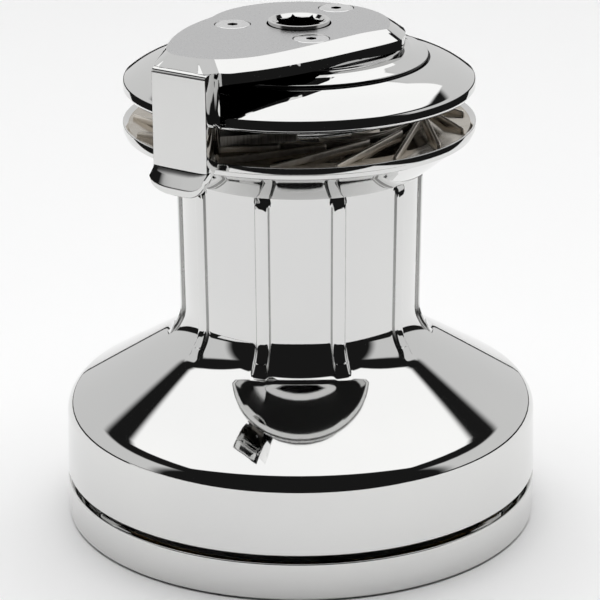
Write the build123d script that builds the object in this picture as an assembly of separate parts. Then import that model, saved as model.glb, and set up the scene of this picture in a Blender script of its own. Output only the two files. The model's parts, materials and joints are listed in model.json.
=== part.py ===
from build123d import *
import os
from math import acos, atan2, cos, degrees, pi, radians, sin, tan

# Two-speed self-tailing sailboat winch: millimetres, +Z up, origin under the base on the drum axis.

os.makedirs("parts", exist_ok=True)

# ---------------------------------------------------------------- driving dimensions
base_r = 113.0            # outside of the base ring and of the drum skirt
base_ring_h = 18.2
base_wall = 4.0
base_plate_t = 6.0
skirt_gap = 3.7           # dark gap between base ring and skirt
skirt_z = base_ring_h + skirt_gap
drum_r = 54.9             # bare drum between its ribs, at the bottom
drum_top_r = 55.9
rib_count = 10
rib_high = 1.9
rib_wide = 7.0
rib_top_z = 168.0
race_r = 51.0             # drum bore that the rollers run in
stem_r = 43.0             # stem outside that the rollers run on
stem_bore = 35.0
neck_r = 55.5             # root of the rope groove
lip_bore = 41.5
head_r = 40.5             # top of the stem, under the arm
head_top = 229.5
jaw_r = 82.1
jaw_rib_count = 17
groove_root_low = 197.5
groove_root_high = 205.5
groove_mouth_low = 194.0
groove_mouth_high = 209.3
groove_rib_r = 77.5       # outer ends of the jaw ribs
arm_angle = -34.0         # the arm column, from the front, to the left
arm_in = 83.3
arm_out = 93.7
arm_wide = 29.0
plate_top = 239.0
plate_r = 49.0
overall_h = 240.6
spindle_r = 11.0
spindle_head_r = 14.25
socket_half = 8.7         # half of the 17.4 mm square of the standard handle
socket_deep = 45.0
socket_turn = 14.0        # the star's turn about the axis
run = 0.05                # running clearance, radial

# gear train
module = 2.0
pressure = radians(25.0)
addendum = 0.95 * module
dedendum = 1.25 * module
backlash = 0.24
spindle_teeth, ratchet_teeth, fast_teeth = 16, 40, 26
idler_teeth, first_teeth, pinion_teeth, ring_teeth = 14, 16, 14, 70
level_a = (13.0, 22.0)    # spindle pinion and ratchet gear, second speed
level_b = (24.0, 32.0)    # fast gear, idler and first-speed gear
level_c = (34.0, 47.0)    # drum pinion and ring gear
shaft_x = module * (ring_teeth - pinion_teeth) / 2
idler_r = module * (fast_teeth + idler_teeth) / 2
idler_gap = module * (idler_teeth + first_teeth) / 2
idler_turn = degrees(acos((idler_r ** 2 + shaft_x ** 2 - idler_gap ** 2) / (2 * idler_r * shaft_x)))
idler_x, idler_y = idler_r * cos(radians(idler_turn)), idler_r * sin(radians(idler_turn))
shaft_r = 6.0
idler_pin_r = 5.0

# ratchets
carrier_r = 16.9
ratchet_tip, ratchet_root, ratchet_count = 17.0, 20.0, 12
pawl_pivot = 12.0
pawl_heel = 2.4
pawl_nose = 18.5
pawl_sweep = 38.0         # nose ahead of the pivot, about the carrier's axis
pawl_fold = 16.0
tooth_lead = 7.0          # free play from the nose to the next ratchet tooth

# foot and deck of the stem
foot_z, foot_t, foot_r = base_plate_t, 5.0, 68.0
deck_z, deck_t, deck_r = 49.0, 6.0, 66.5
bearing_low = (88.0, 112.0)
bearing_high = (149.7, 173.7)
shoulder_z = 174.0
washer_t = 2.0
roller_count, roller_r = 14, (race_r - stem_r) / 2 - run
roller_pitch = (race_r + stem_r) / 2
cage_ratio_r = 2.4        # half of the cage's wall

# ---------------------------------------------------------------- helpers
low = (Align.CENTER, Align.CENTER, Align.MIN)


def rod(radius, z0, z1, x=0.0, y=0.0):
    return Pos(x, y, z0) * Cylinder(radius, z1 - z0, align=low)


def tube(inner, outer, z0, z1, x=0.0, y=0.0):
    return rod(outer, z0, z1, x, y) - rod(inner, z0 - 1, z1 + 1, x, y)


def turned(points):
    """A solid of revolution about Z from (radius, height) points."""
    return revolve(make_face(Polyline(*[(r, 0, z) for r, z in points], close=True)), Axis.Z)


def spun(edges):
    """The same from ready edges in the XZ plane."""
    return revolve(make_face(edges), Axis.Z)


def polar(radius, angle):
    return radius * cos(radians(angle)), radius * sin(radians(angle))


def ring_of(shape, count, start=0.0):
    return [Rot(0, 0, start + i * 360 / count) * shape for i in range(count)]


def placed(shape, places):
    return [Pos(x, y, 0) * shape for x, y in places]


def from_front(angle):
    """Angles from the front (-Y), positive to the right (+X), as angles from +X."""
    return angle - 90.0


def block(x0, x1, y0, y1, z0, z1):
    return Pos((x0 + x1) / 2, (y0 + y1) / 2, z0) * Box(x1 - x0, y1 - y0, z1 - z0, align=low)


def join(shapes):
    total = shapes[0]
    for shape in shapes[1:]:
        total = total + shape
    return total


def slab(face, z0, z1):
    return Pos(0, 0, z0) * extrude(face, z1 - z0)


# ---------------------------------------------------------------- gears
def involute(angle):
    return tan(angle) - angle


def gear_face(teeth, phase, tip, root, slack):
    """Outline of an involute gear with a tooth centred on the angle phase (degrees)."""
    pitch_r = module * teeth / 2
    floor_r = pitch_r * cos(pressure)
    half = (pi * module / 2 - slack) / (2 * pitch_r) + involute(pressure)
    start = max(floor_r, root)
    flank = []
    for step in range(4):
        radius = start + (tip - start) * step / 3
        flank.append((radius, half - involute(acos(min(1.0, floor_r / radius)))))
    if root < start:
        flank.insert(0, (root, flank[0][1]))
    points = []
    for i in range(teeth):
        centre = radians(phase) + 2 * pi * i / teeth
        points += [(r * cos(centre - a), r * sin(centre - a)) for r, a in flank]
        points += [(r * cos(centre + a), r * sin(centre + a)) for r, a in reversed(flank)]
    return make_face(Polyline(*points, close=True))


def gear(teeth, phase, level):
    pitch_r = module * teeth / 2
    face = gear_face(teeth, phase, pitch_r + addendum, pitch_r - dedendum, backlash / 2)
    return slab(face, *level)


def mate_phase(teeth, phase, direction, mate_teeth):
    """Phase that puts a mating gear in mesh along a direction from the first gear."""
    pitch = 360 / teeth
    lead = (phase - direction) % pitch
    return direction + 180 - lead * teeth / mate_teeth + 180 / mate_teeth


phase_idler = mate_phase(fast_teeth, idler_turn, idler_turn, idler_teeth)
idler_to_shaft = degrees(atan2(-idler_y, shaft_x - idler_x))
phase_first = mate_phase(idler_teeth, phase_idler, idler_to_shaft, first_teeth)


# ---------------------------------------------------------------- pawls and ratchets
def pawl_face(pad, fold):
    """Pawl seen from above, pivot on +Y, nose leading clockwise; pad grows it, fold turns it in."""
    nose_angle = 90 - pawl_sweep
    outer = Vector(*polar(pawl_nose + pad, nose_angle - pad))
    inner = Vector(*polar(pawl_nose - 3.4 - pad, nose_angle - pad))
    pivot = Vector(0, pawl_pivot)
    along = ((outer + inner) * 0.5 - pivot).normalized()
    side = Vector(-along.Y, along.X) * (pawl_heel - 0.2 + pad)
    body = make_face(Polyline(pivot + side, outer, inner, pivot - side, close=True))
    heel = Pos(0, pawl_pivot) * Circle(pawl_heel + min(pad, run))
    face = body + heel
    return Pos(0, pawl_pivot) * Rot(0, 0, -fold) * Pos(0, -pawl_pivot) * face


def pawl(level, fold, turn):
    return Rot(0, 0, turn) * slab(pawl_face(0, fold), level[0] + 0.3, level[1] - 0.3)


def pawl_pocket(level, turn):
    steps = [pawl_face(0.35, pawl_fold * part / 5) for part in range(6)]
    room = join([slab(face, level[0] - 0.5, level[1] + 0.5) for face in steps])
    return Rot(0, 0, turn) * (room + spring_seat(level, 0.1))


def spring_seat(level, pad):
    """Flat leaf spring under the folded pawl, in the floor of its pocket."""
    leaf = block(-3.2 - pad, 3.2 + pad, -0.2 - pad, 0.2 + pad, level[0] + 1.5 - pad, level[1] - 1.5 + pad)
    return Pos(6.6, 8.15, 0) * Rot(0, 0, -pawl_fold + 10) * leaf


def ratchet_cut(level, lead):
    """Inside sawtooth of a ratchet gear; lead turns its steep faces."""
    points = []
    for i in range(ratchet_count):
        angle = lead + i * 360 / ratchet_count
        points += [polar(ratchet_tip, angle), polar(ratchet_root, angle)]
        points += [polar(ratchet_root - 1.4, angle + 180 / ratchet_count)]
    return slab(make_face(Polyline(*points, close=True)), level[0] - 1, level[1] + 1)


def main_piece(shape):
    """The largest solid, without the chips that a pawl's pocket leaves at the rim."""
    return shape.solids().sort_by(SortBy.VOLUME)[-1]


def pawl_carrier(level):
    carrier = rod(carrier_r, *level)
    for turn in (0, 180):
        carrier = carrier - pawl_pocket(level, turn)
    return main_piece(carrier)


steep_face = 90 - pawl_sweep - tooth_lead
nodes = {}

# ---------------------------------------------------------------- base
deck_bolt_r, deck_bolt_hole = 95.0, 4.5
ring_screw_r = 105.0
foot_screw_r = 60.0
foot_screw_angles = (28, 95, 150, 210, 265, 332)
pillar_places = [polar(58.0, 60), polar(58.0, -60)]


def flat_head(head_r_, shank_r, top, bottom):
    """Countersunk socket screw, head up."""
    cone_h = head_r_ - shank_r
    head = Pos(0, 0, top - cone_h) * Cone(shank_r, head_r_, cone_h, align=low)
    body = head + rod(shank_r, bottom, top - cone_h)
    return body - slab(RegularPolygon(head_r_ * 0.42, 6), top - cone_h * 0.7, top + 1)


def flat_head_hole(head_r_, shank_r, top, bottom):
    cone_h = head_r_ - shank_r
    head = Pos(0, 0, top - cone_h) * Cone(shank_r, head_r_, cone_h, align=low)
    return head + rod(shank_r, bottom, top - cone_h) + rod(head_r_, top, top + 2)


def base_parts():
    plate = rod(base_r - base_wall - 0.1, 0, base_plate_t) - rod(16, -1, base_plate_t + 1)
    for x, y in [polar(deck_bolt_r, 30 + 60 * i) for i in range(6)]:
        plate = plate - rod(deck_bolt_hole, -1, base_plate_t + 1, x, y)
    ledge_top = base_plate_t + 3.0
    ring = turned([(base_r - base_wall, 0), (base_r - 0.8, 0), (base_r, 0.8), (base_r, base_ring_h - 0.6),
                   (base_r - 0.6, base_ring_h), (base_r - base_wall, base_ring_h),
                   (base_r - base_wall, ledge_top), (ring_screw_r - 5, ledge_top),
                   (ring_screw_r - 5, base_plate_t), (base_r - base_wall, base_plate_t)])
    ring_screws = [Pos(*polar(ring_screw_r, 60 * i), 0) * flat_head(3.6, 2.0, ledge_top, 1.5) for i in range(6)]
    ring_holes = [Pos(*polar(ring_screw_r, 60 * i), 0) * flat_head_hole(3.6, 2.0, ledge_top, 1.5)
                  for i in range(6)]
    foot_top = foot_z + foot_t
    foot_places = [polar(foot_screw_r, a) for a in foot_screw_angles]
    foot_screws = placed(flat_head(5.6, 3.0, foot_top, 1.5), foot_places)
    foot_holes = placed(flat_head_hole(5.6, 3.0, foot_top, 1.5), foot_places)
    nodes["base_plate"] = plate - join(ring_holes + foot_holes)
    nodes["base_ring"] = ring - join(ring_holes)
    nodes["base_ring_screws"] = Compound(ring_screws)
    nodes["foot_screws"] = Compound(foot_screws)
    return join(foot_holes)


def centre_stem(foot_holes):
    foot_top = foot_z + foot_t
    wall = tube(stem_bore, stem_r, foot_top - 1, deck_z + 1)
    window = make_face(Polyline((0, 0), polar(90, -64), polar(150, 0), polar(90, 64), close=True))
    wall = wall - slab(window, foot_top, deck_z)
    foot = rod(foot_r, foot_z, foot_top) - rod(14, foot_z - 1, foot_top + 1)
    deck = tube(stem_bore, deck_r, deck_z, deck_z + deck_t)
    deck = deck + rod(9, level_b[1] + 1.3, deck_z, idler_x, idler_y)
    pillars = [rod(5, foot_top - 1, deck_z + 1, x, y) for x, y in pillar_places]
    top = deck_z + deck_t
    tower = turned([(stem_bore, top - 1), (stem_r + 9, top - 1), (stem_r + 3, top + 8),
                    (stem_r + 3, bearing_low[0] - 0.6), (stem_r, bearing_low[0] - 0.6), (stem_r, shoulder_z),
                    (head_r, shoulder_z), (head_r, head_top), (17, head_top), (17, 200), (stem_bore, 190)])
    stem = foot + wall + deck + tower + join(pillars)
    stem = stem - rod(shaft_r, 0, deck_z + deck_t - 1, shaft_x, 0)
    stem = stem - rod(idler_pin_r, level_b[0] - 2, deck_z + deck_t - 1, idler_x, idler_y)
    for x, y in arm_screw_places:
        stem = stem - rod(4, 212, head_top + 1, x, y)
    nodes["centre_stem"] = stem - foot_holes


arm_screw_places = [(-30.5, -2.0), (5.5, -29.0), (17.5, 29.0)]


def stem_fittings():
    foot_top = foot_z + foot_t
    nodes["spindle_bush_lower"] = (tube(spindle_r + run, 14, foot_z - 1, foot_top)
                                   + tube(spindle_r + run, 17, foot_top, level_a[0] - 0.1))
    nodes["spindle_bush_upper"] = tube(spindle_head_r + run, 17, 206, 226)
    nodes["gear_shaft"] = rod(shaft_r, foot_z, deck_z + deck_t - 1, shaft_x, 0)
    nodes["idler_pin"] = rod(idler_pin_r, level_b[0] - 1.8, deck_z + deck_t - 1, idler_x, idler_y)
    nodes["drum_thrust_washer"] = tube(head_r, stem_r + 5, shoulder_z, shoulder_z + washer_t)
    nodes["bearing_spacer"] = tube(stem_r + 0.1, stem_r + 2.2, bearing_low[1] + 0.5, bearing_high[0] - 0.5)
    nodes["pinion_thrust_washer"] = tube(shaft_r, 19, foot_top, level_a[0] - 0.1, shaft_x, 0)
    nodes["pinion_top_washer"] = tube(shaft_r, 11, level_c[1] + 0.1, deck_z, shaft_x, 0)


# ---------------------------------------------------------------- drum
neck_top = 206.0
flange_top = 183.0
flange_r = 69.5
flare_z = 159.5            # where the waist starts to flare out to the flange
skirt_top_z, cone_low, cone_high = 48.5, (108.6, 59.3), (66.0, 84.2)
spigot_r, spigot_top = 50.0, 216.0
spring_r, spring_count, spring_z = 61.6, 6, (179.5, 190.9)
key_places = (45, 135, 225, 315)
ring_gear_r, ring_gear_top = 84.0, 66.0
ring_bolt_r = 78.25


def drum_outside():
    """Outer profile of the drum, from the skirt's foot to the flange under the lower jaw."""
    skirt = Line((base_r, 0, skirt_z), (base_r - 0.8, 0, skirt_top_z))
    shoulder = Spline((base_r - 0.8, 0, skirt_top_z), (cone_low[0], 0, cone_low[1]),
                      tangents=[(0, 0, 1), (-cos(radians(30)), 0, sin(radians(30)))])
    cone = Line((cone_low[0], 0, cone_low[1]), (cone_high[0], 0, cone_high[1]))
    fillet_ = Spline((cone_high[0], 0, cone_high[1]), (drum_r, 0, 98),
                     tangents=[(-cos(radians(30)), 0, sin(radians(30))), (0, 0, 1)])
    wall = Line((drum_r, 0, 98), (drum_top_r, 0, flare_z))
    flare = Spline((drum_top_r, 0, flare_z), (61.9, 0, flare_z + 12.4), (flange_r - 1, 0, flare_z + 15),
                   tangents=[(0, 0, 1), (1, 0, 0.1)])
    return [skirt, shoulder, cone, fillet_, wall, flare]


def drum_shell():
    foot_in, neck_in = base_r - 4.6, race_r
    inner = Polyline((flange_r - 1, 0, flare_z + 15), (flange_r, 0, flare_z + 16),
                     (flange_r, 0, flange_top), (neck_r, 0, flange_top),
                     (neck_r, 0, neck_top), (spigot_r, 0, neck_top), (spigot_r, 0, spigot_top),
                     (lip_bore, 0, spigot_top), (lip_bore, 0, 198), (neck_in, 0, 198), (neck_in, 0, 181),
                     (lip_bore, 0, 181), (lip_bore, 0, shoulder_z + washer_t + run),
                     (neck_in, 0, shoulder_z + washer_t + run), (neck_in, 0, 84), (60, 0, 79),
                     (73, 0, 72.5), (73, 0, ring_gear_top), (86, 0, ring_gear_top),
                     (86, 0, 66.5), (104.5, 0, 55.8), (107.6, 0, 50), (foot_in, 0, skirt_z),
                     (base_r, 0, skirt_z))
    shell = spun(drum_outside() + [inner])
    rib = block(drum_r - 2.5, drum_r + rib_high, -rib_wide / 2, rib_wide / 2, 92, rib_top_z)
    rib = chamfer(rib.edges().filter_by(Axis.Z).sort_by(Axis.X)[-2:], 1.6)
    rib = Pos(-drum_r, 0, -98) * rib
    rib = Pos(drum_r, 0, 98) * Rot(0, degrees(atan2(drum_top_r - drum_r, 68)), 0) * rib
    shell = shell + ring_of(rib, rib_count, from_front(-18))
    for spring_at in ring_of(rod(4, spring_z[0], flange_top + 1, spring_r, 0), spring_count):
        shell = shell - spring_at
    for angle in key_places:
        shell = shell - Rot(0, 0, angle) * jaw_key(0)
    for hole in ring_of(rod(2.5, ring_gear_top - 1, 70.5, ring_bolt_r, 0), 6, 30):
        shell = shell - hole
    for hole in ring_of(rod(2.5, 205, spigot_top + 1, 46, 0), 6, 15):
        shell = shell - hole
    nodes["drum_shell"] = shell


def jaw_key(pad):
    return block(neck_r - 2.5, neck_r + 2.3 + pad, -3 - pad, 3 + pad, 184, 195.5 + 3 * pad)


def coil_spring(wire, radius, z0, z1, turns):
    path = Helix(pitch=(z1 - z0 - 2 * wire) / turns, height=z1 - z0 - 2 * wire, radius=radius)
    path = Pos(0, 0, z0 + wire) * path
    profile = Plane(origin=path @ 0, z_dir=path % 0) * Circle(wire)
    return sweep(profile, path=path)


def drum_fittings():
    cutter = gear_face(ring_teeth, 0, module * ring_teeth / 2 + dedendum,
                       module * ring_teeth / 2 - addendum, -backlash / 2)
    toothed = rod(ring_gear_r, *level_c) - slab(cutter, level_c[0] - 1, level_c[1] + 1)
    collar = tube(72.9, ring_gear_r, level_c[1], ring_gear_top)
    ring = toothed + collar
    for hole in ring_of(rod(2.5, 30, 70, ring_bolt_r, 0) + rod(4.2, 30, level_c[0] + 5, ring_bolt_r, 0), 6, 30):
        ring = ring - hole
    nodes["ring_gear"] = ring
    bolt = rod(2.5, level_c[0] + 4, 70, ring_bolt_r, 0) + rod(4, level_c[0] + 0.5, level_c[0] + 5, ring_bolt_r, 0)
    bolt = bolt - Pos(ring_bolt_r, 0, 0) * slab(RegularPolygon(2.2, 6), level_c[0] - 1, level_c[0] + 3)
    nodes["ring_gear_bolts"] = Compound(ring_of(bolt, 6, 30))
    spring = Pos(spring_r, 0, 0) * coil_spring(0.5, 2.8, spring_z[0], spring_z[1], 4)
    nodes["jaw_springs"] = Compound(ring_of(spring, spring_count))
    nodes["jaw_drive_keys"] = Compound([Rot(0, 0, angle) * jaw_key(0) for angle in key_places])
    screw = rod(2.5, 206, 222, 46, 0) + rod(3.0, 221, 225, 46, 0)
    screw = screw - Pos(46, 0, 0) * slab(RegularPolygon(1.6, 6), 222.5, 226)
    nodes["upper_jaw_screws"] = Compound(ring_of(screw, 6, 15))


# ---------------------------------------------------------------- jaws
def jaw_ribs(z0, z1, envelope):
    """Straight bars tangent to the groove root, cut to the envelope's thickness."""
    reach = (groove_rib_r ** 2 - (neck_r + 1.5) ** 2) ** 0.5
    bar = block(0, reach, neck_r + 0.6, neck_r + 2.6, z0, z1)
    bars = join([Rot(0, 0, i * 360 / jaw_rib_count) * bar for i in range(jaw_rib_count)])
    return bars & envelope


def lower_jaw():
    bore = neck_r + 0.3
    body = turned([(bore, 188.3), (79, 188.3), (jaw_r, 190.2), (jaw_r, 193.6), (jaw_r - 0.8, 194.2),
                   (79.3, 192.6), (bore, 195.4)])
    envelope = turned([(bore, 192), (groove_rib_r, 191), (groove_rib_r, groove_mouth_low),
                       (bore, groove_root_low)])
    body = body + jaw_ribs(190, 199, envelope)
    for angle in key_places:
        body = body - Rot(0, 0, angle) * block(neck_r - 3, neck_r + 2.8, -3.4, 3.4, 187, 198.5)
    for hole in ring_of(rod(4, 187, spring_z[1] + 0.1, spring_r, 0), spring_count):
        body = body - hole
    nodes["lower_jaw"] = body


def upper_jaw():
    under = [(spigot_r, 206), (neck_r + 1, 206), (neck_r + 2, 207.6), (79.3, 210.8), (80.9, groove_mouth_high),
             (81.7, 210.0), (81.7, 213.2)]
    lower_line = Polyline(*[(r, 0, z) for r, z in under])
    dome = ThreePointArc((81.7, 0, 213.2), (72, 0, 219.9), (59.8, 0, 223.8))
    upper_line = Polyline((59.8, 0, 223.8), (59.2, 0, 224.6), (52.4, 0, 226.9), (51.4, 0, 227.4),
                          (46.9, 0, 227.4), (46.9, 0, 228.9), (44.5, 0, 228.9), (44.5, 0, 226),
                          (42.5, 0, 226), (42.5, 0, spigot_top), (spigot_r, 0, spigot_top), (spigot_r, 0, 206))
    body = spun([lower_line, dome, upper_line])
    envelope = turned([(neck_r + 0.4, groove_root_high), (groove_rib_r, groove_mouth_high),
                       (groove_rib_r, 213), (neck_r + 0.4, 209)])
    body = body + jaw_ribs(203, 214, envelope)
    for hole in ring_of(rod(2.5, 205, 227, 46, 0) + rod(3.3, 221, 230, 46, 0), 6, 15):
        body = body - hole
    nodes["upper_jaw"] = body


# ---------------------------------------------------------------- self-tailing arm
def arm_frame(shape):
    """Puts a shape drawn with +X outward at the arm's place round the axis."""
    return Rot(0, 0, from_front(arm_angle)) * shape


def plate_outline():
    left = Spline((-46.5, 15), (-56, -10), (-61.6, -38), (-64.0, -68))
    end = Line((-64.0, -68), (-41.5, -84.5))
    front = Spline((-41.5, -84.5), (-33, -73.5), (-16, -66.6), (8, -50), (27, -33.5), (46, -16.5))
    close_ = Line((46, -16.5), (-46.5, 15))
    return make_face([left, end, front, close_]) + Circle(plate_r)


def self_tailing_arm():
    under_z = head_top
    plate = slab(plate_outline(), under_z, plate_top)
    plate = chamfer(plate.faces().sort_by(Axis.Z)[-1].edges(), 2.0, 1.6)
    # underside of the overhanging part, relieved over the collar of the upper jaw
    section = Polyline((arm_in, 0, 234), (arm_out, 0, 234), (arm_out, 0, 190), (arm_out + 3.9, 0, 184),
                       (arm_out + 3.4, 0, 181), (arm_out - 0.6, 0, 181.4), (arm_out - 4.4, 0, 187),
                       (arm_in + 2.4, 0, 194), (arm_in, 0, 201), close=True)
    column = Pos(0, arm_wide / 2, 0) * extrude(make_face(section), arm_wide, dir=(0, -1, 0))
    arm = plate + arm_frame(column)
    arm = arm - rod(15, under_z - 1, plate_top + 1)
    for x, y in arm_screw_places:
        arm = arm - Pos(x, y, 0) * flat_head_hole(8.25, 4, plate_top, under_z - 1)
    arm = arm - rope_stripper_blank(0)
    nodes["self_tailing_arm"] = arm - arm_frame(rod(1.5, 195, 208, arm_in + 3, 4))


def rope_stripper_blank(pad):
    """Tongue that lifts the rope out of the groove, with its tenon in the arm."""
    root = neck_r + 1.2
    tongue = make_face([
        Polyline(polar(root, from_front(-40)), polar(arm_in, from_front(-43)),
                 polar(arm_in, from_front(-28)), (-38, -66), (-1.5, -58.2),
                 polar(root, from_front(-1))),
        ThreePointArc(polar(root, from_front(-1)), polar(root, from_front(-20)), polar(root, from_front(-40)))])
    tenon = arm_frame(block(arm_in - 6, arm_in + 5.0, -6, 8, 199.25, 203.75))
    return slab(tongue, 199.25, 203.75) + tenon


def arm_fittings():
    nodes["rope_stripper"] = rope_stripper_blank(0) - arm_frame(rod(1.5, 195, 208, arm_in + 3, 4))
    nodes["stripper_pin"] = arm_frame(rod(1.5, 195.5, 207.5, arm_in + 3, 4))
    nodes["arm_screws"] = Compound(placed(flat_head(8.25, 4, plate_top, 213), arm_screw_places))


# ---------------------------------------------------------------- spindle
def spindle():
    body = rod(spindle_r, 3, 192) + rod(spindle_head_r, 190, overall_h)
    star = Rectangle(2 * socket_half, 2 * socket_half) + Rot(0, 0, 45) * Rectangle(2 * socket_half, 2 * socket_half)
    body = body - Rot(0, 0, socket_turn) * slab(star, overall_h - socket_deep, overall_h + 1)
    body = body - Pos(0, 0, overall_h - 1.4) * Cone(11.2, 12.9, 1.5, align=low)
    for turn in (0, 180):
        body = body - pawl_pocket(level_b, turn)
    nodes["spindle"] = main_piece(body + pawl_carrier(level_b))
    nodes["spindle_pinion"] = gear(spindle_teeth, 0, level_a) - rod(spindle_r, 0, 50)
    nodes["fast_gear"] = gear(fast_teeth, idler_turn, level_b) - ratchet_cut(level_b, steep_face)
    nodes["fast_gear_lower_washer"] = tube(spindle_r, 20.5, level_a[1] + 0.2, level_b[0] - 0.1)
    nodes["fast_gear_upper_washer"] = tube(spindle_r, 20.5, level_b[1] + 0.1, level_b[1] + 1.2)
    clip = tube(spindle_r, 13.4, level_b[1] + 1.2, level_b[1] + 2.2)
    nodes["spindle_circlip"] = clip - block(0, 20, -2.5, 2.5, level_b[1], level_b[1] + 4)
    nodes["fast_pawl_1"] = pawl(level_b, 0, 0)
    nodes["fast_pawl_2"] = pawl(level_b, 0, 180)
    nodes["fast_pawl_springs"] = Compound([Rot(0, 0, turn) * spring_seat(level_b, 0) for turn in (0, 180)])


# ---------------------------------------------------------------- gears on the fixed shafts
def shaft_gears():
    at_shaft = Pos(shaft_x, 0, 0)
    ratchet = gear(ratchet_teeth, 180 + 180 / ratchet_teeth, level_a) - ratchet_cut(level_a, steep_face)
    for hole in ring_of(rod(5, 0, 50, 28.5, 0), 6):
        ratchet = ratchet - hole
    nodes["ratchet_gear"] = at_shaft * ratchet
    pinion = pawl_carrier(level_a) + rod(11, level_a[1], level_c[0] + 1)
    pinion = pinion + gear(first_teeth, phase_first, level_b) + gear(pinion_teeth, 0, level_c)
    pinion = main_piece(pinion - rod(8, 0, 60))
    nodes["drum_pinion"] = at_shaft * pinion
    nodes["pinion_bush"] = tube(shaft_r + run, 8, level_a[0], level_c[1], shaft_x, 0)
    nodes["ratchet_gear_washer"] = tube(11, 20.5, level_a[1] + 0.1, level_b[0] - 0.2, shaft_x, 0)
    pawls = [pawl(level_a, pawl_fold, turn) for turn in (0, 180)]
    leaves = [Rot(0, 0, turn) * spring_seat(level_a, 0) for turn in (0, 180)]
    nodes["slow_pawls"] = Compound([at_shaft * item for item in pawls])
    nodes["slow_pawl_springs"] = Compound([at_shaft * item for item in leaves])
    nodes["idler_gear"] = Pos(idler_x, idler_y, 0) * (gear(idler_teeth, phase_idler, level_b) - rod(7, 0, 50))
    nodes["idler_bush"] = tube(idler_pin_r + run, 7, *level_b, idler_x, idler_y)


# ---------------------------------------------------------------- drum bearings
def bearing(name, level):
    z0, z1 = level
    roller = rod(roller_r, z0 + 2.1, z1 - 2.1, roller_pitch, 0)
    pocket = rod(roller_r + 0.15, z0 + 2, z1 - 2, roller_pitch, 0)
    cage = tube(roller_pitch - cage_ratio_r, roller_pitch + cage_ratio_r, z0, z1)
    nodes[name + "_cage"] = cage - join(ring_of(pocket, roller_count))
    nodes[name + "_rollers"] = Compound(ring_of(roller, roller_count))


foot_holes = base_parts()
centre_stem(foot_holes)
stem_fittings()
drum_shell()
drum_fittings()
lower_jaw()
upper_jaw()
self_tailing_arm()
arm_fittings()
spindle()
shaft_gears()
bearing("lower_bearing", bearing_low)
bearing("upper_bearing", bearing_high)

for name, shape in nodes.items():
    export_step(shape, f"parts/{name}.step")
    print(name, "solids", len(shape.solids()), "volume", round(shape.volume), "mm3")
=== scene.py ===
import json
from math import acos, atan2, ceil, cos, degrees, hypot, pi, radians, sin, sqrt, tan

import bpy
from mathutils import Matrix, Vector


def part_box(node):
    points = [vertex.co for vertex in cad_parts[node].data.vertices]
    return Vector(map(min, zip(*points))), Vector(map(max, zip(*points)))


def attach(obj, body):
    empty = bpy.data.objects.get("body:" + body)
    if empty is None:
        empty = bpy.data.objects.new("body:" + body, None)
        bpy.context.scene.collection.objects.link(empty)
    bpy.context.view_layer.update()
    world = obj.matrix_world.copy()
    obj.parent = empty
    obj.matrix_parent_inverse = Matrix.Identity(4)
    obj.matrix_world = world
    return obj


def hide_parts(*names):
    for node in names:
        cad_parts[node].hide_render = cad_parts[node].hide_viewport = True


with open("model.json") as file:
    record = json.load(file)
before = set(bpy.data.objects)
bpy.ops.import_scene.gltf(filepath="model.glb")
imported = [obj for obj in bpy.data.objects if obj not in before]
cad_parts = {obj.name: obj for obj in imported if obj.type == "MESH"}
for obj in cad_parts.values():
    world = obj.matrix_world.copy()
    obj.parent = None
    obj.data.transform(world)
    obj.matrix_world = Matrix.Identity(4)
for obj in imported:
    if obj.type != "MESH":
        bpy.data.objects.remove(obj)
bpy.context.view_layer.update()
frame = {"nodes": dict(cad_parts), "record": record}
mm = 0.001


def saveSizes():
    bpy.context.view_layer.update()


saveSizes()
print("frame loaded")


# ---- camera, floor and light
studio = {
    "target": (-0.1, 0.0, 103.3),  # mm, where the camera aims
    "distance": 1251.7,  # mm
    "elevation": 19.96,
    "roll": -0.26,
    "lens": 157.27,
    "floorSize": 60.0,  # metres across
    "floorLevel": -0.0005,
    "floorColour": (0.93, 0.93, 0.93),
    "floorRoughness": 0.9,
    # metres: the white sheets that the steel mirrors; beyond them the room is dark
    "sheets": {"paleTable": ((-0.58, -0.56), (0.58, 1.6)), "sideCard": ((-1.2, -0.6), (-0.6, -0.12))},
    "lampPower": 44.0,
    "lampSize": 3.0,
    "lampPlace": (0, -0.2, 2.6),
}


def deselectAll():
    if bpy.context.object and bpy.context.object.mode != "OBJECT":
        bpy.ops.object.mode_set(mode="OBJECT")
    bpy.ops.object.select_all(action="DESELECT")


def setCamera():
    rise = radians(studio["elevation"])
    away = studio["distance"] * mm
    aim = [value * mm for value in studio["target"]]
    place = (aim[0], aim[1] - away * cos(rise), aim[2] + away * sin(rise))
    bpy.ops.object.camera_add(location=place, rotation=(pi / 2 - rise, 0, 0))
    camera = bpy.context.object
    camera.name = "photoCamera"
    camera.rotation_mode = "XYZ"
    camera.data.lens = studio["lens"]
    camera.data.sensor_width = 36.0
    camera.data.clip_end = 50.0
    camera.rotation_euler.rotate_axis("Z", radians(studio["roll"]))
    bpy.context.scene.camera = camera
    bpy.context.scene.view_settings.view_transform = "Standard"


def addSheet(name, low, high, level, paper):
    deselectAll()
    bpy.ops.mesh.primitive_plane_add(size=1, location=((low[0] + high[0]) / 2, (low[1] + high[1]) / 2, level))
    sheet = bpy.context.object
    sheet.name = name
    sheet.scale = (high[0] - low[0], high[1] - low[1], 1)
    sheet.data.materials.append(paper)
    return sheet


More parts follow.
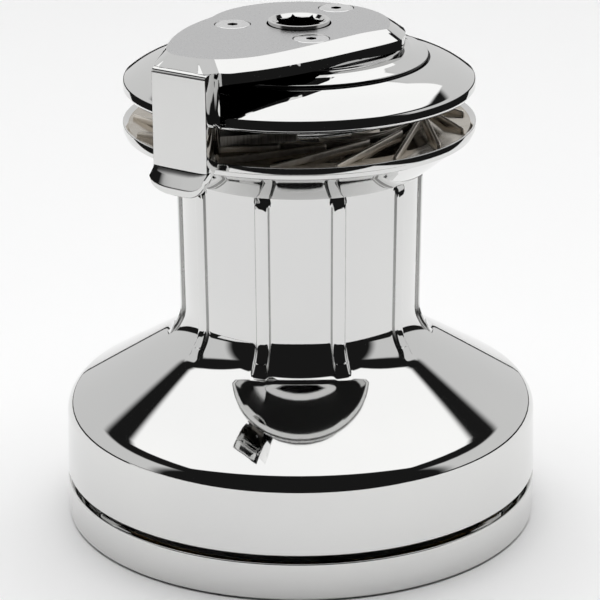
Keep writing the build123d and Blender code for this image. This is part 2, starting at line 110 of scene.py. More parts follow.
def setFloor():
    paper = bpy.data.materials.new("palePaper")
    paper.use_nodes = True
    shader = paper.node_tree.nodes["Principled BSDF"]
    shader.inputs["Base Color"].default_value = (*studio["floorColour"], 1)
    shader.inputs["Roughness"].default_value = studio["floorRoughness"]
    far = studio["floorSize"] / 2
    # the wide floor is only seen, the sheets are only mirrored
    floor = addSheet("paleFloor", (-far, -far), (far, far), studio["floorLevel"], paper)
    floor.visible_glossy = False
    for name, (low, high) in studio["sheets"].items():
        sheet = addSheet(name, low, high, 0, paper)
        sheet.visible_camera = False
        sheet.visible_shadow = False
        sheet.visible_diffuse = False
    bpy.ops.object.light_add(type="AREA", location=studio["lampPlace"])
    lamp = bpy.context.object
    lamp.name = "floorLamp"
    lamp.data.size = studio["lampSize"]
    lamp.data.energy = studio["lampPower"]
    lamp.visible_glossy = False


# the room's light as a mirror sees it: a big soft box overhead, dark gaps round it, pale walls low down
room = {
    "boxAcross": 0.78,  # half width of the overhead soft box, over its height
    "boxFront": -0.24,
    "boxBack": 1.5,
    "boxLight": 1.25,
    "wallTop": 0.56,  # sine of the elevation where the pale walls stop
    "wallLight": 0.72,
    "frontEdge": -0.30,  # how far round to the front the walls come
    "frontSoft": 0.1,
    "floorEdge": -0.02,  # the walls' lower edge, just under the horizon
    "floorSoft": 0.01,
    "dark": 0.012,
    "soft": 0.03,
    "leastUp": 0.02,  # keeps the overhead box's plane finite
}


def mathNode(tree, kind, first, second=None, third=None):
    node = tree.nodes.new("ShaderNodeMath")
    node.operation = kind
    for socket, value in zip(node.inputs, (first, second, third)):
        if value is None:
            continue
        if isinstance(value, (int, float)):
            socket.default_value = value
        else:
            tree.links.new(value, socket)
    return node.outputs[0]


def rampNode(tree, value, low, high):
    node = tree.nodes.new("ShaderNodeMapRange")
    node.interpolation_type = "SMOOTHSTEP"
    node.inputs["From Min"].default_value = low
    node.inputs["From Max"].default_value = high
    tree.links.new(value, node.inputs["Value"])
    return node.outputs["Result"]


def setRoom():
    world = bpy.data.worlds.new("studioRoom")
    bpy.context.scene.world = world
    world.use_nodes = True
    tree = world.node_tree
    background = tree.nodes["Background"]
    place = tree.nodes.new("ShaderNodeTexCoord")
    split = tree.nodes.new("ShaderNodeSeparateXYZ")
    tree.links.new(place.outputs["Generated"], split.inputs[0])
    across, along, up = split.outputs
    safeUp = mathNode(tree, "MAXIMUM", up, room["leastUp"])
    u = mathNode(tree, "ABSOLUTE", mathNode(tree, "DIVIDE", across, safeUp))
    v = mathNode(tree, "DIVIDE", along, safeUp)
    soft = room["soft"]
    insideAcross = rampNode(tree, u, room["boxAcross"] + soft, room["boxAcross"] - soft)
    insideFront = rampNode(tree, v, room["boxFront"] - soft, room["boxFront"] + soft)
    insideBack = rampNode(tree, v, room["boxBack"] + soft, room["boxBack"] - soft)
    softBox = mathNode(tree, "MULTIPLY", mathNode(tree, "MULTIPLY", insideAcross, insideFront), insideBack)
    lowEnough = rampNode(tree, up, room["wallTop"] + soft, room["wallTop"] - soft)
    frontEdge, frontSoft = room["frontEdge"], room["frontSoft"]
    notFront = rampNode(tree, along, frontEdge - frontSoft, frontEdge + frontSoft)
    floorEdge, floorSoft = room["floorEdge"], room["floorSoft"]
    aboveFloor = rampNode(tree, up, floorEdge - floorSoft, floorEdge + floorSoft)
    walls = mathNode(tree, "MULTIPLY", mathNode(tree, "MULTIPLY", lowEnough, notFront), aboveFloor)
    boxPart = mathNode(tree, "MULTIPLY", softBox, room["boxLight"])
    wallPart = mathNode(tree, "MULTIPLY", walls, room["wallLight"])
    light = mathNode(tree, "MAXIMUM", mathNode(tree, "MAXIMUM", boxPart, wallPart), room["dark"])
    tree.links.new(light, background.inputs["Color"])
    background.inputs["Strength"].default_value = 1.0


setCamera()
setFloor()
setRoom()
print("studio set")


# ---- finishes
def newMaterial(name):
    material = bpy.data.materials.new(name)
    material.use_nodes = True
    tree = material.node_tree
    return material, tree, tree.nodes["Principled BSDF"]


def noiseOn(tree, scale, detail, stretch=(1, 1, 1)):
    place = tree.nodes.new("ShaderNodeTexCoord")
    mapping = tree.nodes.new("ShaderNodeMapping")
    mapping.inputs["Scale"].default_value = stretch
    noise = tree.nodes.new("ShaderNodeTexNoise")
    noise.inputs["Scale"].default_value = scale
    noise.inputs["Detail"].default_value = detail
    tree.links.new(place.outputs["Object"], mapping.inputs["Vector"])
    tree.links.new(mapping.outputs["Vector"], noise.inputs["Vector"])
    return noise.outputs["Fac"]


def rangeOf(tree, value, low, high):
    node = tree.nodes.new("ShaderNodeMapRange")
    node.inputs["From Min"].default_value = 0.3
    node.inputs["From Max"].default_value = 0.7
    node.inputs["To Min"].default_value = low
    node.inputs["To Max"].default_value = high
    tree.links.new(value, node.inputs["Value"])
    return node.outputs["Result"]


def tinted(tree, value, first, second):
    ramp = tree.nodes.new("ShaderNodeValToRGB")
    ramp.color_ramp.elements[0].position = 0.35
    ramp.color_ramp.elements[1].position = 0.65
    ramp.color_ramp.elements[0].color = (*first, 1)
    ramp.color_ramp.elements[1].color = (*second, 1)
    tree.links.new(value, ramp.inputs["Fac"])
    return ramp.outputs["Color"]


def bumped(tree, shader, value, distance, strength):
    bump = tree.nodes.new("ShaderNodeBump")
    bump.inputs["Distance"].default_value = distance
    bump.inputs["Strength"].default_value = strength
    tree.links.new(value, bump.inputs["Height"])
    tree.links.new(bump.outputs["Normal"], shader.inputs["Normal"])


finishes = {
    # name: first colour, second colour, roughness low and high, metallic, grain scale, stretch, bump distance
    "polishedSteel": ((0.71, 0.71, 0.705), (0.74, 0.74, 0.73), 0.02, 0.045, 1, 9, (1, 1, 1), 0.00001),
    "satinSteel": ((0.56, 0.56, 0.565), (0.60, 0.60, 0.60), 0.26, 0.34, 1, 900, (1, 1, 1), 0.00001),
    # darker warm steel that paints the shade in the rope groove on the lower jaw's dish
    "grooveShadeSteel": ((0.46, 0.42, 0.36), (0.54, 0.50, 0.44), 0.08, 0.18, 1, 120, (1, 1, 1), 0.00002),
    # near-black brown steel, used as painted shade under the upper jaw and on its bars
    "shadedSteel": ((0.050, 0.043, 0.034), (0.075, 0.066, 0.054), 0.22, 0.34, 1, 60, (1, 1, 1), 0.00002),
    # near-black steel, used as painted shade in the collar groove, in the screws' hex sockets and under the
    # arm's plate
    "paintedShadeSteel": ((0.045, 0.045, 0.047), (0.07, 0.07, 0.07), 0.12, 0.22, 1, 40, (1, 1, 1), 0.00001),
    # grey steel for the painted shade line along each rib's side, standing in for shade and dark reflection
    # there
    "flankShadeSteel": ((0.34, 0.34, 0.335), (0.42, 0.42, 0.41), 0.20, 0.30, 1, 60, (1, 1, 1), 0.00001),
    "ribSteel": ((0.80, 0.74, 0.66), (0.90, 0.85, 0.78), 0.38, 0.50, 1, 400, (1, 1, 1), 0.00002),
    "stripperSteel": ((0.20, 0.185, 0.165), (0.34, 0.32, 0.29), 0.30, 0.44, 1, 300, (6, 6, 0.3), 0.00006),
    "screwSteel": ((0.74, 0.74, 0.74), (0.80, 0.80, 0.80), 0.14, 0.22, 1, 500, (1, 1, 1), 0.00001),
    "machinedSteel": ((0.52, 0.52, 0.53), (0.60, 0.60, 0.60), 0.18, 0.30, 1, 300, (1, 1, 6), 0.00002),
    "castAlloy": ((0.42, 0.43, 0.45), (0.50, 0.51, 0.52), 0.42, 0.55, 1, 500, (1, 1, 1), 0.00004),
    "gearBronze": ((0.60, 0.43, 0.20), (0.70, 0.52, 0.27), 0.22, 0.36, 1, 260, (1, 1, 4), 0.00002),
    "bearingPlastic": ((0.80, 0.79, 0.74), (0.86, 0.85, 0.81), 0.40, 0.52, 0, 700, (1, 1, 1), 0.00003),
    "springSteel": ((0.34, 0.34, 0.35), (0.44, 0.44, 0.45), 0.24, 0.36, 1, 800, (1, 1, 1), 0.00001),
}


def makeFinish(name):
    first, second, roughLow, roughHigh, metal, grain, stretch, bumpDistance = finishes[name]
    material, tree, shader = newMaterial(name)
    noise = noiseOn(tree, grain, 4, stretch)
    shader.inputs["Metallic"].default_value = metal
    tree.links.new(tinted(tree, noise, first, second), shader.inputs["Base Color"])
    tree.links.new(rangeOf(tree, noise, roughLow, roughHigh), shader.inputs["Roughness"])
    bumped(tree, shader, noise, bumpDistance, 0.3)
    return material


made = {name: makeFinish(name) for name in finishes}
slotFinish = {
    "polished_steel": "polishedSteel",
    "satin_steel": "satinSteel",
    "machined_steel": "machinedSteel",
    "cast_alloy": "castAlloy",
    "gear_bronze": "gearBronze",
    "bearing_plastic": "bearingPlastic",
    "spring_steel": "springSteel",
}
for part in frame["record"]["subparts"]:
    node = frame["nodes"][part["node"]]
    node.data.materials.clear()
    node.data.materials.append(made[slotFinish[part["material_slot"]]])
frame["nodes"]["rope_stripper"].data.materials[0] = made["stripperSteel"]
frame["nodes"]["spindle"].data.materials[0] = made["polishedSteel"]
print("finishes made")


# ---- helpers for turned and bent shapes
def unit(x, y):
    size = hypot(x, y)
    return x / size, y / size


def softLine(corners, arcStep=6.0):
    # closed outline from (radius, height, fillet) corners, each fillet a true arc
    points = []
    for i, (r, z, fillet) in enumerate(corners):
        if not fillet:
            points.append((r * mm, z * mm))
            continue
        before, after = corners[i - 1], corners[(i + 1) % len(corners)]
        inward = unit(before[0] - r, before[1] - z)
        outward = unit(after[0] - r, after[1] - z)
        half = acos(inward[0] * outward[0] + inward[1] * outward[1]) / 2
        middle = unit(inward[0] + outward[0], inward[1] + outward[1])
        centre = (r + middle[0] * fillet / sin(half), z + middle[1] * fillet / sin(half))
        reach = fillet / tan(half)
        start = atan2(z + inward[1] * reach - centre[1], r + inward[0] * reach - centre[0])
        stop = atan2(z + outward[1] * reach - centre[1], r + outward[0] * reach - centre[0])
        turn = (stop - start + pi) % (2 * pi) - pi
        steps = max(2, ceil(abs(degrees(turn)) / arcStep))
        for k in range(steps + 1):
            angle = start + turn * k / steps
            points.append(((centre[0] + fillet * cos(angle)) * mm, (centre[1] + fillet * sin(angle)) * mm))
    return points


def finer(points, longest):
    # splits long runs so that no ring is further than this from the next
    result = []
    for (r0, z0), (r1, z1) in zip(points, points[1:] + points[:1]):
        parts = max(1, ceil(hypot(r1 - r0, z1 - z0) / longest))
        result += [(r0 + (r1 - r0) * k / parts, z0 + (z1 - z0) * k / parts) for k in range(parts)]
    return result


def ringWalk(name, outline, columns):
    # a circle carried round a closed outline, one ring after another
    deselectAll()
    radius, height = outline[0]
    bpy.ops.mesh.primitive_circle_add(vertices=columns, radius=radius, location=(0, 0, height))
    piece = bpy.context.object
    piece.name = name
    bpy.ops.object.mode_set(mode="EDIT")
    bpy.ops.mesh.select_all(action="SELECT")
    for nextRadius, nextHeight in outline[1:] + outline[:1]:
        bpy.ops.mesh.extrude_region_move(TRANSFORM_OT_translate={"value": (0, 0, nextHeight - height)})
        grow = nextRadius / radius
        bpy.ops.transform.resize(value=(grow, grow, 1))
        radius, height = nextRadius, nextHeight
    bpy.ops.mesh.select_all(action="SELECT")
    bpy.ops.mesh.remove_doubles(threshold=0.00001)
    bpy.ops.mesh.normals_make_consistent(inside=False)
    bpy.ops.object.mode_set(mode="OBJECT")
    bpy.ops.object.transform_apply(location=True, rotation=True, scale=True)
    return piece


def pickOnly(*objects):
    deselectAll()
    for item in objects:
        item.select_set(True)
    bpy.context.view_layer.objects.active = objects[0]


def smoothOver(piece, angle=32):
    pickOnly(piece)
    bpy.ops.object.shade_smooth_by_angle(angle=radians(angle))


def applied(piece, kind, **settings):
    pickOnly(piece)
    modifier = piece.modifiers.new(kind.title(), kind)
    for key, value in settings.items():
        setattr(modifier, key, value)
    bpy.ops.object.modifier_apply(modifier=modifier.name)


def softEdges(piece, width, segments=3, angle=35):
    applied(piece, "BEVEL", width=width * mm, segments=segments, limit_method="ANGLE",
            angle_limit=radians(angle), harden_normals=False, use_clamp_overlap=True)


def cut(piece, tool):
    applied(piece, "BOOLEAN", operation="DIFFERENCE", object=tool, solver="EXACT")
    bpy.data.objects.remove(tool)


def merged(piece, other):
    applied(piece, "BOOLEAN", operation="UNION", object=other, solver="EXACT")
    bpy.data.objects.remove(other)


def copyOf(piece, name):
    twin = piece.copy()
    twin.data = piece.data.copy()
    twin.name = name
    bpy.context.collection.objects.link(twin)
    return twin


def joined(pieces, name):
    pickOnly(*pieces)
    bpy.ops.object.join()
    whole = bpy.context.object
    whole.name = name
    return whole


def settle(piece):
    pickOnly(piece)
    bpy.ops.object.transform_apply(location=True, rotation=True, scale=True)


def turnBy(piece, angle):
    pickOnly(piece)
    piece.rotation_euler = (0, 0, radians(angle))
    bpy.ops.object.transform_apply(location=False, rotation=True, scale=False)


def dressed(piece, *names):
    piece.data.materials.clear()
    for name in names:
        piece.data.materials.append(made[name])


def paintWhere(piece, test, index):
    for face in piece.data.polygons:
        if test(face):
            face.material_index = index


def crispAtPaint(piece):
    # an edge between two finishes stays sharp
    slots = {}
    for face in piece.data.polygons:
        for key in face.edge_keys:
            slots.setdefault(key, set()).add(face.material_index)
    for edge in piece.data.edges:
        if len(slots.get(edge.key, ())) > 1:
            edge.use_edge_sharp = True


def fitted(piece, body, slot, *nodes):
    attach(piece, body)
    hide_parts(*nodes)


def boxBar(name, size, place):
    deselectAll()
    bpy.ops.mesh.primitive_cube_add(size=1, location=[value * mm for value in place])
    bar = bpy.context.object
    bar.name = name
    bar.scale = [value * mm for value in size]
    settle(bar)
    return bar


def drumRod(name, radius, low, high, x=0.0, y=0.0, vertices=64):
    deselectAll()
    bpy.ops.mesh.primitive_cylinder_add(vertices=vertices, radius=radius * mm, depth=(high - low) * mm,
                                        location=(x * mm, y * mm, (low + high) / 2 * mm))
    piece = bpy.context.object
    piece.name = name
    settle(piece)
    return piece


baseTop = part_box("base_ring")[1][2] / mm
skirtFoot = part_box("drum_shell")[0][2] / mm
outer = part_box("base_ring")[1][0] / mm

# ---- base ring
baseRing = {"wall": 4.0, "ledgeInner": 100.0, "ledgeLow": 6.0, "ledgeHigh": 9.0, "columns": 256}


def makeBaseRing():
    inner = outer - baseRing["wall"]
    outline = softLine([
        (inner, 0.05, 0.3), (outer, 0.05, 1.4), (outer, baseTop, 0.7), (inner, baseTop, 0.7),
        (inner, baseRing["ledgeHigh"], 0.5), (baseRing["ledgeInner"], baseRing["ledgeHigh"], 0.4),
        (baseRing["ledgeInner"], baseRing["ledgeLow"], 0), (inner, baseRing["ledgeLow"], 0)], 15)
    piece = ringWalk("baseRing", outline, baseRing["columns"])
    dressed(piece, "polishedSteel")
    smoothOver(piece, 40)
    fitted(piece, "base", "polished_steel", "base_ring")


makeBaseRing()
print("base ring made")

# ---- drum: skirt, cone, ribbed waist and flared neck in one spun shell
drum = {
    "skirtTopR": 112.2,
    "coneSlope": 31.0,
    "coneCorner": 57.3,  # height where wall and cone would meet
    "shoulder": 10.8,
    "waistR": 54.9,
    "neckR": 55.9,
    "waistFillet": 21.0,
    "flareZ": 172.5,
    "flangeR": 58.6,
    "ribs": 10,
    "ribTurn": -17.8,  # the first rib, from the front, to the right
    "ribLift": 1.9,
    "ribTop": 170.4,
    "ribSlope": 1.0,
    "ribFoot": 86.5,
    "ribFade": 5.0,
    "ribColumns": (0.0, 1.1, 2.0, 2.55, 2.9, 3.2, 3.55, 4.1, 5.2, 7.0, 9.8, 13.4),
    "ribHeights": (1.0, 1.0, 0.985, 0.9, 0.68, 0.32, 0.10, 0.02, 0, 0, 0, 0),
    "ribLeast": 52.5,  # mm, the shell's inner wall is inside this radius
    "leanBelow": 92.0,  # under this height the ribs stand square to the fillet
    "lean": (0.8, 0.6),
    "flankLow": 88.0,
    "flankFrom": 3.0,  # mm from the rib's middle, where the painted grey shade line on its side starts and stops
    "flankTo": 3.5,
}


def coneHeight(radius):
    return drum["coneCorner"] + (drum["skirtTopR"] - radius) * tan(radians(drum["coneSlope"]))


def drumOutline():
    waist, neck = drum["waistR"], drum["neckR"]
    corners = [
        (outer - 4.6, skirtFoot, 0.5), (outer, skirtFoot, 0.9),
        (drum["skirtTopR"], drum["coneCorner"], drum["shoulder"]),
        (waist, coneHeight(waist), drum["waistFillet"]), (neck, drum["flareZ"], 2.0),
        (drum["flangeR"], drum["flareZ"] + 3.0, 1.5), (drum["flangeR"], 183.0, 0.6),
        (55.5, 183.0, 0.4), (55.5, 206.0, 0),
        (50.0, 206.0, 0), (50.0, 216.0, 0), (41.5, 216.0, 0), (41.5, 198.0, 0), (51.0, 198.0, 0),
        (51.0, 181.0, 0), (41.5, 181.0, 0), (41.5, 176.05, 0), (51.0, 176.05, 0), (51.0, 84.0, 0),
        (60.0, 79.0, 0), (73.0, 72.5, 0), (73.0, 66.0, 0), (86.0, 66.0, 0), (86.0, 67.0, 0),
        (104.0, 56.0, 0), (107.6, 49.0, 2.0)]
    return finer(softLine(corners, 4), 0.0022)


def ribFade(z):
    # the rib's height along the drum: full on the waist, sloped at its top, faded into the cone
    top = min(1.0, max(0.0, (drum["ribTop"] - z) / drum["ribSlope"]))
    foot = min(1.0, max(0.0, (z - drum["ribFoot"]) / drum["ribFade"]))
    return top * foot * foot * (3 - 2 * foot)


def raiseRibs(piece):
    columns = drum["ribColumns"]
    half = pi / drum["ribs"]
    perRib = 2 * len(columns)
    for vertex in piece.data.vertices:
        x, y, z = vertex.co
        radius = hypot(x, y)
        slot = round(atan2(y, x) / (2 * half / perRib))
        rib = round(slot / perRib)
        step = slot - rib * perRib
        side = -1 if step < 0 else 1
        count = min(abs(step), len(columns))
        offset = columns[count] / drum["waistR"] if count < len(columns) else half
        angle = rib * 2 * half + side * offset + radians(drum["ribTurn"] - 90)
        onWaist = radius > drum["ribLeast"] * mm and drum["ribFoot"] * mm < z < drum["ribTop"] * mm
        lift = drum["ribHeights"][count] * drum["ribLift"] * mm if onWaist and count < len(columns) else 0
        leanOut, leanUp = drum["lean"] if z < drum["leanBelow"] * mm else (1.0, 0.0)
        lift *= ribFade(z / mm)
        vertex.co = ((radius + lift * leanOut) * cos(angle), (radius + lift * leanOut) * sin(angle),
                     z + lift * leanUp)


# the thin strip along each rib's side that gets the painted shade line
def onRibFlank(face):
    x, y, z = face.center
    if hypot(x, y) < drum["ribLeast"] * mm or not drum["flankLow"] * mm < z < (drum["ribTop"] - 2) * mm:
        return False
    pitch = 2 * pi / drum["ribs"]
    turn = atan2(y, x) - radians(drum["ribTurn"] - 90)
    offset = abs((turn + pitch / 2) % pitch - pitch / 2) * drum["waistR"]
    return drum["flankFrom"] < offset < drum["flankTo"]


def makeDrum():
    columns = drum["ribs"] * 2 * len(drum["ribColumns"])
    piece = ringWalk("drumShell", drumOutline(), columns)
    raiseRibs(piece)
    dressed(piece, "polishedSteel", "flankShadeSteel")
    # painted shade: a thin grey line along both sides of every rib
    paintWhere(piece, onRibFlank, 1)
    smoothOver(piece, 42)
    fitted(piece, "drum", "polished_steel", "drum_shell")


makeDrum()
print("drum made")

# ---- rope jaws
jaws = {
    "ribs": 17,
    "ribWide": 1.9,
    "ribInner": 57.0,
    "ribOuter": 77.6,
    "ribTurn": 11.7,  # outer end of one rib, from the front, to the right
    "lowRoot": 197.5,
    "lowMouth": 194.0,
    "highRoot": 205.5,
    "highMouth": 209.2,
    "barDepth": 3.4,
    "columns": 224,
}


def jawBars(rootZ, mouthZ, downward):
    # straight bars that leave the groove's root as tangents and end short of the rim
    reach = sqrt(jaws["ribOuter"] ** 2 - jaws["ribInner"] ** 2)
    slopeUp = (mouthZ - rootZ) / reach
    bar = boxBar("jawBar", (reach, jaws["ribWide"], jaws["barDepth"]), (reach / 2, 0, 0))
    bar.rotation_euler = (0, -atan2(mouthZ - rootZ, reach), 0)
    settle(bar)
    softEdges(bar, 0.75, 4, 40)
    bar.location = (0, jaws["ribInner"] * mm, (rootZ + downward * jaws["barDepth"] / 2) * mm)
    settle(bar)
    outerTurn = degrees(atan2(jaws["ribInner"], reach))
    bars = []
    for i in range(jaws["ribs"]):
        twin = copyOf(bar, f"jawBar{i}")
        turnBy(twin, jaws["ribTurn"] - 90 - outerTurn + i * 360 / jaws["ribs"])
        bars.append(twin)
    bpy.data.objects.remove(bar)
    return joined(bars, "jawBars")


def makeLowerJaw():
    outline = softLine([
        (55.8, 188.3, 0), (59.6, 188.3, 0), (59.6, 172.6, 0.3), (60.6, 172.9, 0.6), (78.9, 187.6, 3.0),
        (81.0, 188.4, 0.8), (81.5, 190.6, 0.3), (82.1, 190.9, 0.3), (82.1, 194.5, 0.45),
        (79.4, 192.4, 0.8), (68.0, 191.6, 6.0), (57.0, 194.4, 0), (55.8, 194.6, 0)], 8)
    dish = ringWalk("lowerJaw", finer(outline, 0.004), jaws["columns"])
    dressed(dish, "polishedSteel", "grooveShadeSteel", "ribSteel", "paintedShadeSteel")
    # painted shade: the dish's upward faces inside the rim get the darker steel
    paintWhere(dish, lambda face: face.normal.z > 0.5 and hypot(*face.center[:2]) < 80.0 * mm, 1)
    bars = jawBars(jaws["lowRoot"], jaws["lowMouth"], -1)
    dressed(bars, "polishedSteel", "grooveShadeSteel", "ribSteel", "paintedShadeSteel")
    paintWhere(bars, lambda face: True, 2)
    piece = joined([dish, bars], "lowerJaw")
    smoothOver(piece, 35)
    fitted(piece, "lower_jaw", "polished_steel", "lower_jaw")


# the faces of the narrow groove round the collar, which get painted shade
def inCollarGroove(face):
    return 59.5 * mm < hypot(*face.center[:2]) < 60.55 * mm and 221 * mm < face.center.z < 223.3 * mm


def makeUpperJaw():
    outline = softLine([
        (50.0, 206.0, 0), (56.4, 206.0, 0.4), (57.6, 208.0, 0.8), (79.0, 210.9, 0.5), (80.3, 208.6, 0.4),
        (81.7, 210.6, 0.4), (81.6, 214.6, 2.2), (73.9, 220.3, 40.0), (60.5, 223.65, 0.25),
        (60.5, 221.4, 0), (59.6, 221.4, 0),
        (59.6, 225.3, 0.5), (53.2, 226.9, 2.0), (51.4, 227.6, 0.4), (46.9, 227.9, 0.6), (46.9, 228.9, 0.3),
        (44.5, 228.9, 0.3), (44.5, 226.0, 0), (42.5, 226.0, 0), (42.5, 216.0, 0), (50.0, 216.0, 0)], 5)
    dish = ringWalk("upperJaw", finer(outline, 0.004), jaws["columns"])
    dressed(dish, "polishedSteel", "shadedSteel", "paintedShadeSteel")
    # painted shade: the upper jaw's underside is made near-black, so the dish below mirrors it dark
    paintWhere(dish, lambda face: face.normal.z < -0.5 and hypot(*face.center[:2]) < 79.2 * mm, 1)
    # painted shade: the collar groove's walls are made near-black
    paintWhere(dish, inCollarGroove, 2)
    bars = jawBars(jaws["highRoot"], jaws["highMouth"], 1)
    # painted shade: the upper jaw's bars, which hang in shade, are made near-black
    dressed(bars, "polishedSteel", "shadedSteel")
    paintWhere(bars, lambda face: True, 1)
    piece = joined([dish, bars], "upperJaw")
    smoothOver(piece, 35)
    fitted(piece, "drum", "polished_steel", "upper_jaw")


makeLowerJaw()
makeUpperJaw()
print("jaws made")

# ---- self-tailing arm: top plate, column and foot
arm = {
    "turn": -34.0,  # column, from the front, to the left
    "inner": 83.3,
    "outer": 93.7,
    "wide": 29.0,
    "plateR": 49.0,
    "satinR": 42.0,
    "plateLow": 229.6,
    "sideTop": 234.5,
    "plateTop": 238.9,
    "riseFrom": 76.0,  # mm out along the arm, where its rim starts to rise and is up
    "riseTo": 90.0,
    "endRise": 2.4,
    "endTop": 236.75,
    "screwR": 8.25,
    "screws": ((-30.5, -2.0), (5.5, -29.0), (17.5, 29.0)),
    "hole": 15.0,
}
# the plate's outer edge and beside it the satin top's edge, from the right tip past the arm to the back
rimPairs = [
    ((46.9, -14.3), (40.2, -12.3)), ((41.5, -20.6), (34.8, -15.5)), ((35.0, -26.8), (28.5, -19.8)),
    ((27.0, -33.8), (20.8, -26.9)), ((18.0, -41.8), (12.3, -34.7)), ((8.0, -50.2), (3.0, -43.3)),
    ((-4.0, -59.2), (-7.5, -52.4)), ((-16.0, -66.6), (-17.8, -60.0)), ((-26.0, -71.2), (-27.0, -63.8)),
    ((-33.5, -75.2), (-35.5, -65.2)), ((-39.6, -83.6), (-42.5, -64.2)), ((-47.4, -78.4), (-47.5, -61.8)),
    ((-55.2, -73.1), (-52.5, -58.6)), ((-62.6, -68.0), (-56.6, -54.5)), ((-63.4, -60.0), (-58.8, -48.0)),
    ((-62.4, -46.5), (-58.9, -40.5)), ((-60.9, -32.5), (-57.4, -29.0)), ((-58.7, -21.0), (-55.0, -18.5)),
    ((-55.6, -9.5), (-51.4, -7.8)), ((-51.5, 2.5), (-46.4, 2.5)), ((-46.5, 15.5), (-40.3, 12.2)),
]


def smoothRun(points, parts):
    # a curve through the points, closer to each than a plain spline
    run = []
    for i in range(len(points) - 1):
        before, start = points[max(0, i - 1)], points[i]
        stop, after = points[i + 1], points[min(len(points) - 1, i + 2)]
        for k in range(parts):
            t = k / parts
            point = []
            for a, b, c, d in zip(before, start, stop, after):
                square, cube = (2 * a - 5 * b + 4 * c - d) / 2, (3 * b - a - 3 * c + d) / 2
                point.append(b + t * ((c - a) / 2 + t * (square + t * cube)))
            run.append(tuple(point))
    return run


def plateRims():
    outerRun = smoothRun([pair[0] for pair in rimPairs], 6)
    innerRun = smoothRun([pair[1] for pair in rimPairs], 6)
    start = atan2(rimPairs[-1][0][1], rimPairs[-1][0][0])
    stop = atan2(rimPairs[0][0][1], rimPairs[0][0][0])
    steps = 84
    for k in range(steps):
        angle = start + (stop - start) * k / steps
        outerRun.append((arm["plateR"] * cos(angle), arm["plateR"] * sin(angle)))
        innerRun.append((arm["satinR"] * cos(angle), arm["satinR"] * sin(angle)))
    return outerRun, innerRun


def makePlate():
    outerRun, innerRun = plateRims()
    deselectAll()
    bpy.ops.mesh.primitive_circle_add(vertices=len(outerRun), radius=0.05, fill_type="NGON",
                                      location=(0, 0, arm["plateLow"] * mm))
    plate = bpy.context.object
    plate.name = "tailingArm"
    for vertex, (x, y) in zip(plate.data.vertices, outerRun):
        vertex.co = (x * mm, y * mm, 0)
    bpy.ops.object.mode_set(mode="EDIT")
    bpy.ops.mesh.select_all(action="SELECT")
    for rise in (arm["sideTop"] - arm["plateLow"], arm["plateTop"] - arm["sideTop"]):
        bpy.ops.mesh.extrude_region_move(TRANSFORM_OT_translate={"value": (0, 0, rise * mm)})
    bpy.ops.object.mode_set(mode="OBJECT")
    settle(plate)
    # the newest ring of points is drawn in to the satin edge
    for vertex in plate.data.vertices:
        if vertex.co.z > (arm["plateTop"] - 0.1) * mm:
            gaps = [hypot(x * mm - vertex.co.x, y * mm - vertex.co.y) for x, y in outerRun]
            x, y = innerRun[gaps.index(min(gaps))]
            vertex.co.x, vertex.co.y = x * mm, y * mm
        elif vertex.co.z > (arm["sideTop"] - 0.1) * mm:
            # the rim stands higher at the arm's end
            out = (vertex.co.x * sin(radians(arm["turn"])) - vertex.co.y * cos(radians(arm["turn"]))) / mm
            share = min(1.0, max(0.0, (out - arm["riseFrom"]) / (arm["riseTo"] - arm["riseFrom"])))
            vertex.co.z += arm["endRise"] * share * share * (3 - 2 * share) * mm
    pickOnly(plate)
    bpy.ops.object.mode_set(mode="EDIT")
    bpy.ops.mesh.select_all(action="SELECT")
    bpy.ops.mesh.normals_make_consistent(inside=False)
    bpy.ops.object.mode_set(mode="OBJECT")
    return plate


def bevelWhere(piece, test, width, segments):
    # rounds the edges whose two ends pass the test
    pickOnly(piece)
    bpy.ops.object.mode_set(mode="EDIT")
    bpy.ops.mesh.select_mode(type="EDGE")
    bpy.ops.mesh.select_all(action="DESELECT")
    bpy.ops.object.mode_set(mode="OBJECT")
    points = piece.data.vertices
    for edge in piece.data.edges:
        edge.select = all(test(points[index].co) for index in edge.vertices)
    bpy.ops.object.mode_set(mode="EDIT")
    bpy.ops.mesh.bevel(offset=width * mm, segments=segments, affect="EDGES", clamp_overlap=True)
    bpy.ops.mesh.select_mode(type="VERT")
    bpy.ops.object.mode_set(mode="OBJECT")


foot = {
    "cuts": (-0.93, -0.8, -0.62, -0.4, -0.15, 0.1, 0.35, 0.55, 0.7, 0.82, 0.91, 0.97),
    "top": 193.0,
    "deep": 12.0,
    "right": (0.35, 8.0),  # share of the half width that stays flat, and the corner's lift in mm
    "left": (0.2, 5.5),
    "tuck": 0.12,
}


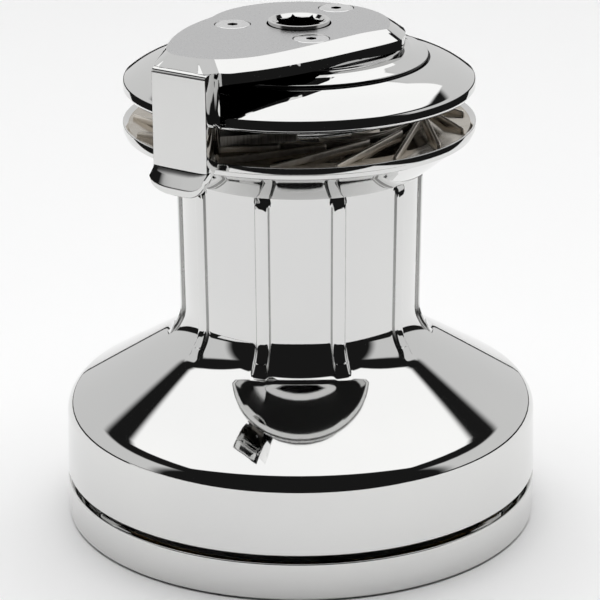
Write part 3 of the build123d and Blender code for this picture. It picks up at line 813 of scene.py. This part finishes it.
def makeColumn():
    # side view of the column and its flared foot, drawn across the arm's width
    section = softLine([
        (arm["inner"], 233.0, 0), (arm["inner"] + 4, 233.0, 0), (arm["inner"] + 4, arm["endTop"], 0),
        (arm["outer"], arm["endTop"], 2.2), (arm["outer"], 191.0, 7.0), (97.6, 184.6, 1.6),
        (97.0, 181.0, 1.0), (93.0, 181.2, 2.5),
        (89.6, 187.5, 6.0), (86.0, 194.0, 5.0), (arm["inner"], 201.0, 6.0)], 9)
    deselectAll()
    bpy.ops.mesh.primitive_circle_add(vertices=len(section), radius=0.05, fill_type="NGON")
    column = bpy.context.object
    column.name = "armColumn"
    half = arm["wide"] / 2 * mm
    for vertex, (out, up) in zip(column.data.vertices, section):
        vertex.co = (out, -half, up)
    bpy.ops.object.mode_set(mode="EDIT")
    bpy.ops.mesh.select_all(action="SELECT")
    bpy.ops.mesh.extrude_region_move(TRANSFORM_OT_translate={"value": (0, 2 * half, 0)})
    bpy.ops.mesh.select_all(action="SELECT")
    bpy.ops.mesh.normals_make_consistent(inside=False)
    bpy.ops.object.mode_set(mode="OBJECT")
    outside = (arm["inner"] + 3) * mm
    # the left edge is rounded more than the right; the foot's lower corners are rounded in the face's plane
    roundFoot(column, half)
    bevelWhere(column, lambda co: co.y < -half + 1e-6 and co.x > outside, 4.4, 7)
    bevelWhere(column, lambda co: co.y > half - 1e-6 and co.x > outside, 1.3, 4)
    turnBy(column, arm["turn"] - 90)
    return column


def roundFoot(column, half):
    # finer across, then the low edge is lifted towards both ends in an arc
    pickOnly(column)
    for place in foot["cuts"]:
        bpy.ops.object.mode_set(mode="EDIT")
        bpy.ops.mesh.select_all(action="SELECT")
        bpy.ops.mesh.bisect(plane_co=(0, place * half, 0.2), plane_no=(0, 1, 0))
        bpy.ops.object.mode_set(mode="OBJECT")
    for vertex in column.data.vertices:
        low = min(1.0, max(0.0, (foot["top"] * mm - vertex.co.z) / (foot["deep"] * mm)))
        across = vertex.co.y / half
        flat, lift = foot["right"] if across > 0 else foot["left"]
        reach = max(0.0, abs(across) - flat) / (1 - flat)
        rise = (1 - sqrt(max(0.0, 1 - reach * reach))) * lift * mm
        vertex.co.z += rise * low
        vertex.co.x -= foot["tuck"] * rise * low


def makeArm():
    plate = makePlate()
    column = makeColumn()
    merged(plate, column)
    cut(plate, drumRod("spindleHole", arm["hole"], arm["plateLow"] - 2, arm["plateTop"] + 2, vertices=96))
    holeR, holeFloor = arm["screwR"] + 0.25, arm["plateTop"] - 2.4
    for x, y in arm["screws"]:
        cut(plate, drumRod("screwHole", holeR, holeFloor, arm["plateTop"] + 2, x, y))
    softEdges(plate, 0.35, 2, 26)
    dressed(plate, "polishedSteel", "satinSteel", "paintedShadeSteel")
    topFace = (arm["plateTop"] - 0.3) * mm
    lowFace = (arm["plateLow"] + 0.2) * mm
    paintWhere(plate, lambda face: face.normal.z > 0.995 and face.center.z > topFace, 1)
    # painted shade: the plate's underside is made near-black, so the dome below mirrors it dark
    paintWhere(plate, lambda face: face.normal.z < -0.99 and face.center.z < lowFace, 2)
    smoothOver(plate, 24)
    crispAtPaint(plate)
    fitted(plate, "base", "polished_steel", "self_tailing_arm")


makeArm()
print("arm made")

# ---- the three arm screws
armScrew = {"hex": 2.6, "hexDeep": 3.0, "headDeep": 2.3, "shankR": 4.0, "tip": 213.0}


def makeScrews():
    screws = []
    top = arm["plateTop"] + 0.05
    for x, y in arm["screws"]:
        head = drumRod("armScrew", arm["screwR"], top - armScrew["headDeep"], top, x, y, 64)
        softEdges(head, 0.7, 4, 40)
        cut(head, drumRod("screwHex", armScrew["hex"], top - armScrew["hexDeep"], top + 1, x, y, 6))
        shankTop = top - armScrew["headDeep"] + 0.3
        merged(head, drumRod("screwShank", armScrew["shankR"], armScrew["tip"], shankTop, x, y, 32))
        screws.append(head)
    piece = joined(screws, "armScrews")
    dressed(piece, "satinSteel", "paintedShadeSteel", "screwSteel")
    # painted shade: the hex sockets are made near-black
    for index, (x, y) in enumerate(arm["screws"]):
        reach = (armScrew["hex"] + 0.2) * mm
        paintWhere(piece, lambda face, x=x, y=y: hypot(face.center.x - x * mm, face.center.y - y * mm) < reach
                   and face.center.z > (top - 3.2) * mm, 1)
    paintWhere(piece, lambda face: face.material_index == 0 and face.center.z > (top - 1) * mm, 2)
    smoothOver(piece, 28)
    fitted(piece, "base", "satin_steel", "arm_screws")


makeScrews()
print("screws made")

saveSizes()
